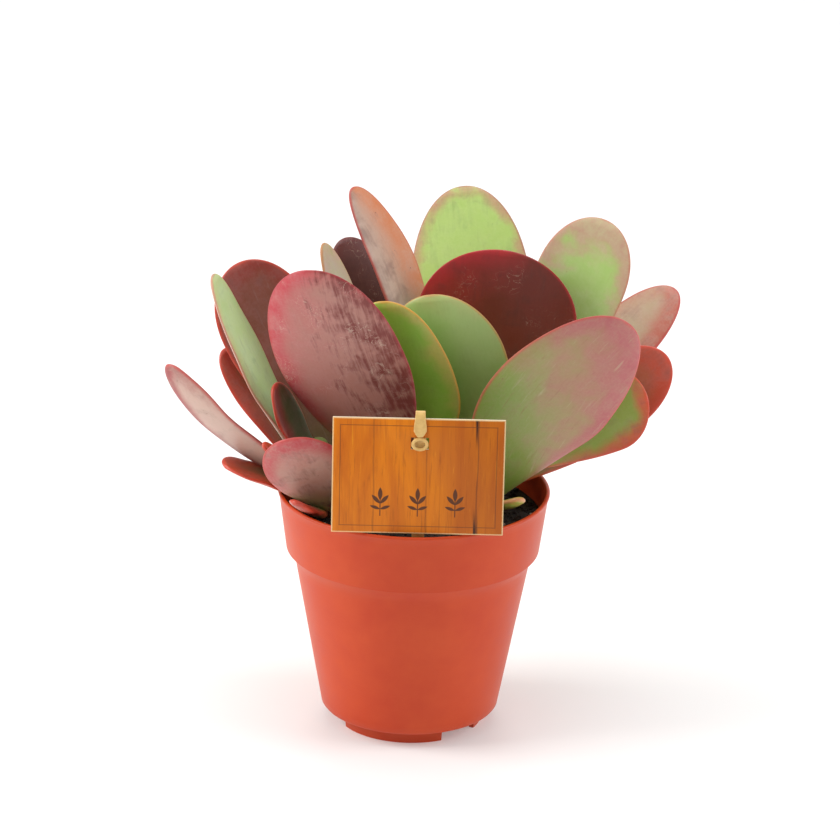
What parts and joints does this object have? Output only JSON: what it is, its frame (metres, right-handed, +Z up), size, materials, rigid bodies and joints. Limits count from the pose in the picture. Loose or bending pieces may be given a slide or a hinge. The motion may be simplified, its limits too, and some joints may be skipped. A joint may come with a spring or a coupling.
{
  "type": "paddle plant",
  "caption": "Paddle plant with broad flat red, pink and green leaves in a terracotta-coloured plastic nursery pot, with a small picture tag on a stake.",
  "frame": {"origin": "on the ground, under the middle of the plant's whole spread; the pot's axis stands 3.8 mm left of it and 14.7 mm in front of it", "axes": "+Z up along the pot's axis, +X to the right as seen from the side with the tag, +Y away from the tag"},
  "size_m": [0.2265, 0.1494, 0.234],
  "materials": {
    "pot_plastic": "satin",
    "soil": "matte",
    "stem": "matte",
    "leaf_pink": "matte",
    "leaf_red": "satin",
    "leaf_green": "satin",
    "leaf_grey_green": "matte",
    "card_print": "satin",
    "stake_plastic": "satin"
  },
  "bodies": {
    "root": {"pot": "pot_plastic", "soil": "soil", "stem_main": "stem", "stem_left": "stem", "stem_right": "stem", "leaf_front_left": "leaf_pink", "leaf_centre_green": "leaf_green", "leaf_centre_pale": "leaf_grey_green", "leaf_centre_maroon": "leaf_red", "leaf_back_green": "leaf_green", "leaf_right_back": "leaf_green", "leaf_right_far": "leaf_pink", "leaf_right_red": "leaf_red", "leaf_right_low": "leaf_red", "leaf_right_front": "leaf_pink", "leaf_right_small": "leaf_green", "leaf_low_front": "leaf_pink", "leaf_low_edge": "leaf_green", "leaf_far_left": "leaf_pink", "leaf_low_left": "leaf_red", "leaf_left_tiny": "leaf_red", "leaf_left_red": "leaf_red", "leaf_left_pale": "leaf_green", "leaf_left_brown": "leaf_red", "leaf_left_dark": "leaf_red", "leaf_back_tall": "leaf_pink", "leaf_back_maroon": "leaf_red", "leaf_back_grey": "leaf_grey_green", "leaf_rear_left_up": "leaf_green", "leaf_rear_right_up": "leaf_green", "leaf_rear_middle_up": "leaf_green", "leaf_rear_left_low": "leaf_green", "leaf_rear_middle_low": "leaf_green", "leaf_rear_right_low": "leaf_green", "tag_card": "card_print", "tag_stake": "stake_plastic", "tag_ring": "stake_plastic"}
  },
  "joints": []
}
